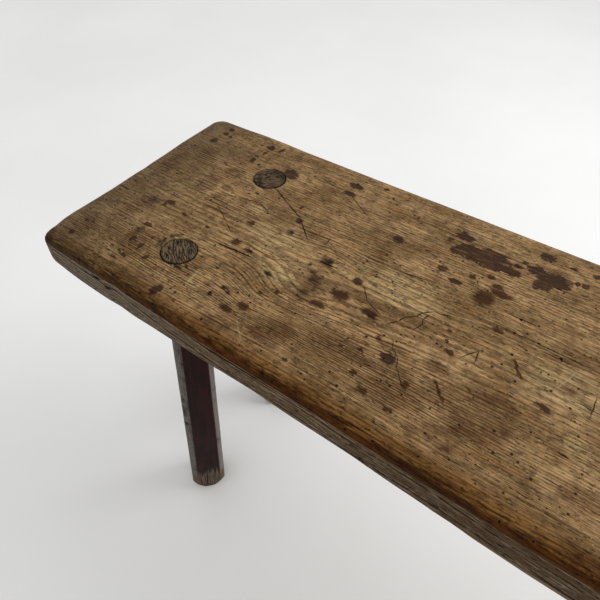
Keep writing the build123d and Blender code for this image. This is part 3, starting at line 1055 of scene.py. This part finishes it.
    # relief in millimetres: raised late wood, sunk fibres, dashes and dots
    relief = product(add, fibre, -0.2)
    sunk = add("MapRange", [dashes, 0.6, 0.7], **soft)
    for raised, much in ((lateLine, 0.22), (sunk, -0.25), (dot, -0.3), (grime, 0.5)):
        relief = add("Math MULTIPLY_ADD", [raised, much, relief])
    gloss = add("Math MULTIPLY_ADD", [patchy, 0.25, -0.12])
    gloss = add("Math ADD", [add("MapRange", [edge, 15, 17, 0.5, 0.78], **soft), gloss])
    gloss = add("Math MULTIPLY_ADD", [darkWaxAndShadeBand, 0.2, gloss])
    bump = add("Bump", {"Strength": 1.0, "Distance": mm, "Height": relief})
    surface = add("BsdfPrincipled", {"Base Color": body, "Roughness": gloss, "IOR": 1.5,
                                     "Specular IOR Level": 0.05, "Normal": bump})
    add("OutputMaterial", {"Surface": surface})
    return material


# Marks on the ends of the front and back tenons: (along, across, half length, half width, turn), from the
# tenon's middle
tenonMarks = {
    "front": [(-7.5, -10.5, 3, 2.4, 40), (9.5, -4.5, 4.2, 1.9, 50), (-4.6, 3.2, 3.4, 1.5, 40),
              (-2.4, 5.6, 2.4, 1.2, 60), (4.6, -13, 5, 2.2, 25), (-1, -15, 6, 1.6, 0), (3, -2, 7, 0.8, 50),
              (1, 1, 6, 0.6, 48)],
    "back": [(-8, -4, 4, 2.2, 70), (-9, 7, 5, 4, 60), (-4, 13, 5, 3, 20), (0, -14, 6, 4, 10),
             (6, -7, 3, 3, 0), (12, -12, 9, 7, 30)],
}
# Noise in the paint, drawn out along the leg
paintStreaks = {
    "streaks": ((5, 5, 70), 4.0, 0.62),
    "hairs": ((1.4, 1.4, 30), 4.0, 0.62),
    "blotch": ((18, 18, 18), 4.0, 0.65),
    "fine": ((2, 2, 2), 4.0, 0.65),
}
legPaint = {
    "footBare": (38, 54),     # the paint is worn off below these heights
    "footStreaks": 70,        # how far that line wanders
    "cracks": 15,             # how far apart the cracks in the bare foot are
    "endFrom": (4, 8),        # the bare tenon starts this far above the plank's underside
}


def tenonEndWood(add, place, x, y, blotch):
    # the tenon's end: torn, diagonal fibres that run two ways, dark bruises and a dirty rim
    fibres = []
    for slant, long, wide in ((11, 8, 1.2), (62, 9, 1.1)):
        slanted = add("Mapping", {"Vector": place, "Rotation": (0, 0, radians(slant)),
                                  "Scale": (1 / long, 1 / wide, 1 / 20)})
        fibres.append(add("TexNoise", {"Vector": slanted, "Scale": 1.0, "Detail": 3.0, "Roughness": 0.6}))
    pale, torn = fibres
    wood = paintOver(
        add, "#130D08",
        (pale, 0.43, 0.55, 0.0, 1.0, "#72604A"),
        (torn, 0.56, 0.64, 0.0, 0.75, "#1B140D"),
        (torn, 0.32, 0.42, 0.5, 0.0, "#8C7857"),
        (blotch, 0.35, 0.6, 0.5, 0.1, "#352B22"),
    )
    shake = add("TexNoise", {"Vector": place, "Scale": 0.35, "Detail": 3.0}, out=1)
    shaken = add("VectorMath MULTIPLY_ADD", [shake, (4, 4, 0), place])
    flat = add("VectorMath MULTIPLY_ADD", [shaken, (1, 1, 0), (-2, -2, 1)])
    c, s = cos(radians(legStance["turn"])), sin(radians(legStance["turn"]))
    bruises = []
    for side, marks in ((1, tenonMarks["front"]), (-1, tenonMarks["back"])):
        turned = [(along * c + side * across * s, side * along * s - across * c, long, wide,
                   side * legStance["turn"] - slant) for along, across, long, wide, slant in marks]
        bruises.append(markDistance(add, flat, turned))
    # the seeds of the two front legs are the last two
    isFront = add("Math GREATER_THAN", [add("SeparateXYZ", [place], out=2), 1900.0])
    bruise = add("Mix", {0: isFront, 2: bruises[1], 3: bruises[0]}, data_type="FLOAT")
    fromAxis = add("VectorMath LENGTH", [add("CombineXYZ", [x, y, 0.0])], out="Value")
    radius = legSize["tenonRadius"]
    wood = paintOver(
        add, wood,
        (bruise, 0.5, 1.25, 0.8, 0.0, "#241B14"),
        (fromAxis, radius - 1.2, radius - 0.2, 0.0, 0.4, "#20170F"),
    )
    return wood, pale


def paintedLegWood():
    # Hewn softwood in old, dark oxblood paint with a dull sheen: rubbed thin and grey on the chamfers, with a
    # painted reflection of that sheen on them, worn off at the foot, and bare end grain where the tenon shows
    # in the plank.
    material, add = newMaterial("old_oxblood_paint_on_pine")
    place = add("Attribute", out="Vector", attribute_name="legPlace")
    x, y, z = [add("SeparateXYZ", [place], out=axis) for axis in range(3)]
    height = add("Math MODULO", [z, 1000.0])
    sumBoth = add("Math ADD", [add("Math ABSOLUTE", [part]) for part in (x, y)])
    # a chamfer is where the two distances from the leg's axis add up to nearly their most
    half = add("MapRange", [height, 0.0, underside, legSize["foot"] / 2, legSize["shoulder"] / 2])
    sameSign = add("Math GREATER_THAN", [product(add, x, y), 0.0])
    chamfer = add("MapRange", [sameSign, 0.0, 1.0, -legSize["chamfer"][False], -legSize["chamfer"][True]])
    most = add("Math MULTIPLY_ADD", [half, 2.0, chamfer])
    fromChamfer = add("Math SUBTRACT", [most, sumBoth])
    nearChamfer = add("MapRange", [fromChamfer, 0.6, 2.0, 1.0, 0.0], **soft)

    streaks, hairs, blotch, fine = drawnOut(add, place, paintStreaks)
    colour = paintOver(
        add, "#1B0F0E",
        (streaks, 0.38, 0.66, 0.0, 1.0, "#301113"),
        (blotch, 0.5, 0.7, 0.0, 0.6, "#1E1716"),
        (hairs, 0.56, 0.68, 0.0, 0.55, "#120C0B"),
    )
    # the chamfers: rubbed-thin paint with a painted reflection of its sheen, lighter where x and y share a
    # sign
    rubbedAndSheen = paintOver(
        add, "#49453F",
        (fine, 0.32, 0.66, 0.0, 1.0, "#726C65"),
        (hairs, 0.5, 0.62, 0.0, 0.6, "#3A2B28"),
        (sameSign, 0.0, 1.0, 0.0, 0.45, "#A0928F"),
    )
    colour = paintOver(add, colour, (product(add, nearChamfer, (blotch, 0.3, 0.5, 0.35, 0.95)), rubbedAndSheen))
    # the red of the paint shows along the arrises on one side, and small chips are knocked off all of them
    redSide = add("Math GREATER_THAN", [y, 0.0])
    redLine = product(add, (fromChamfer, 1.2, 2.0), (fromChamfer, 2.2, 3.0, 0.5, 0.0), (fine, 0.4, 0.6),
                      redSide)
    chipped = product(add, (fromChamfer, 1.0, 4.5, 1.0, 0.0), (fine, 0.62, 0.7))
    colour = paintOver(add, colour, (redLine, "#55211D"), (chipped, "#6E5A48"))
    bare = paintOver(add, "#3B2F25", (hairs, 0.38, 0.62, 0.0, 1.0, "#716252"))
    footEdge = add("Math SUBTRACT", [streaks, 0.5])
    footEdge = add("Math MULTIPLY_ADD", [footEdge, legPaint["footStreaks"], height])
    colour = paintOver(add, colour, (footEdge, *legPaint["footBare"], 0.92, 0.0, bare))
    crack = add("Math ADD", [y, add("Math MULTIPLY_ADD", [streaks, 5.0, -0.5])])
    crack = add("Math PINGPONG", [crack, legPaint["cracks"]])
    crack = product(add, (crack, 0.4, 1.4, 0.85, 0.0), (height, 38, 66, 1.0, 0.0))

    # dirt in the knocks on one chamfer
    diagonal = (cos(radians(45)), cos(radians(45)), 0)
    sideways = add("VectorMath DOT_PRODUCT", [place, diagonal], out="Value")
    onChamfer = add("CombineXYZ", [sideways, z, 1.0])
    knocks = [(slide, 1000 * seed + up, long * 1.1, wide * 0.8, slant * 0.7 - 12)
              for seed, leg in enumerate(sorted(feet)) for up, slide, long, wide, _, slant in legKnocks[leg]]
    knocked = product(add, (markDistance(add, onChamfer, knocks), 0.7, 1.5, 0.93, 0.0),
                      add("Math GREATER_THAN", [x, y]), nearChamfer)
    endWood, pale = tenonEndWood(add, place, x, y, blotch)
    onEnd = add("MapRange", [height, *[underside + up for up in legPaint["endFrom"]]], **soft)
    colour = paintOver(add, colour, (crack, "#17100D"), (knocked, "#120D0B"), (onEnd, endWood))

    relief = product(add, fine, 0.22)
    for raised, much in ((streaks, 0.5), (hairs, -0.35), (product(add, pale, onEnd), 0.5)):
        relief = add("Math MULTIPLY_ADD", [raised, much, relief])
    gloss = add("MapRange", [blotch, 0.3, 0.7, 0.34, 0.5])
    gloss = add("Math ADD", [add("MapRange", [footEdge, 26, 44, 0.35, 0.0], **soft), gloss])
    gloss = add("Math MULTIPLY_ADD", [onEnd, 0.3, gloss])
    bump = add("Bump", {"Strength": 0.9, "Distance": mm, "Height": relief})
    surface = add("BsdfPrincipled", {"Base Color": colour, "Roughness": gloss, "IOR": 1.5,
                                     "Specular IOR Level": 0.05, "Normal": bump})
    add("OutputMaterial", {"Surface": surface})
    return material


pine, paint = pinePlankWood(), paintedLegWood()
for piece, wood, node, slot in [(seat, pine, "seat_plank", "seat_wood")] + [
        (leg, paint, "leg_" + place, "leg_wood") for place, leg in legs.items()]:
    piece.data.materials.clear()
    piece.data.materials.append(wood)
    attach(piece, "root")
    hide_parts(node)

print("stage 8: floor and light")

studio = {"floor": 12, "world": "#F7F7F6", "worldStrength": 0.8, "keyWatts": 24, "keySize": 1.4,
          "keyPlace": (0.95, 1.1, 1.85), "keyAim": (-0.3, 0, 0.4)}
bpy.ops.mesh.primitive_plane_add(size=studio["floor"], location=(0, 0, 0))
floor = named("floor")
# Matt white paint, slightly cloudy: the eye reads a plain, even floor that throws soft light back up
floorPaint, add = newMaterial("matt_white_floor_paint")
grey = add("TexNoise", {"Vector": add("TexCoord", out="Object"), "Scale": 2.0, "Detail": 5.0})
grey = paintOver(add, "#F5F5F4", (grey, 0.3, 0.7, 0.0, 1.0, "#FAFAFA"))
add("OutputMaterial", {"Surface": add("BsdfPrincipled", {"Base Color": grey, "Roughness": 0.8})})
floor.data.materials.append(floorPaint)

world = bpy.data.worlds.new("studio")
bpy.context.scene.world = world
world.use_nodes = True
backdrop = world.node_tree.nodes["Background"]
backdrop.inputs["Color"].default_value = linear(studio["world"])
backdrop.inputs["Strength"].default_value = studio["worldStrength"]

bpy.ops.object.light_add(type="AREA", location=studio["keyPlace"])
key = bpy.context.object
key.data.size = studio["keySize"]
key.data.energy = studio["keyWatts"]
keyWay = Vector(studio["keyAim"]) - Vector(studio["keyPlace"])
key.rotation_euler = keyWay.to_track_quat("-Z", "Y").to_euler()
bpy.context.scene.view_settings.view_transform = "Standard"

print("stage 9: sizes")
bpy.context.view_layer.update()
for piece in [seat] + list(legs.values()):
    print(piece.name, sum(len(face.vertices) - 2 for face in piece.data.polygons), "triangles")
